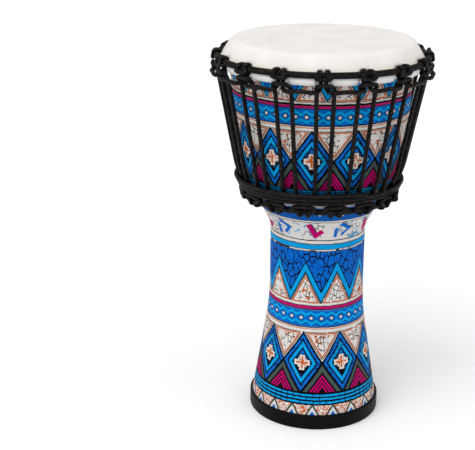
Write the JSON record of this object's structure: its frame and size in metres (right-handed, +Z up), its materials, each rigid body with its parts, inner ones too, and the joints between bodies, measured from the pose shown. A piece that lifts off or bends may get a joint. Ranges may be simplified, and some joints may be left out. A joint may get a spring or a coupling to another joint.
{
  "type": "djembe drum",
  "caption": "Goblet-shaped hand drum with a printed cloth covering, a white skin held by a rope-laced ring, an open foot and a rubber base ring.",
  "frame": {"origin": "centre of the rubber foot's flat underside, on the drum's axis", "axes": "+Z up along the drum's axis; +X to the right and +Y to the back as the picture's camera sees it"},
  "size_m": [0.2248, 0.2248, 0.4],
  "materials": {
    "shell": "black, slightly rough inside",
    "printed_cloth": "woven cotton, wax-print style bands in blue, white, magenta and orange",
    "rubber": "satin black",
    "skin": "white coated synthetic skin, fine grain",
    "steel": "plain rod",
    "sleeve": "black braided sleeve, matt",
    "rope": "black braided cord, matt"
  },
  "bodies": {
    "drum": {"shell": "shell", "bowl_wrap": "printed_cloth", "stem_wrap": "printed_cloth", "rubber_foot": "rubber", "drum_head": "skin", "bottom_ring": "steel", "bottom_ring_sleeve": "sleeve", "tension_rope": "rope", "surplus_rope": "rope", "surplus_rope_knot": "rope"},
    "crown": {"flesh_hoop": "steel", "crown_ring": "steel", "crown_ring_sleeve": "sleeve", "crown_cradle_rope": "rope", "cradle_rope_tail": "rope"}
  },
  "joints": [
    {"name": "head_tuning", "type": "slide", "parent": "drum", "child": "crown", "axis": [0, 0, -1], "range_m": [0, 0.005], "deforming": ["drum_head", "tension_rope"]}
  ]
}
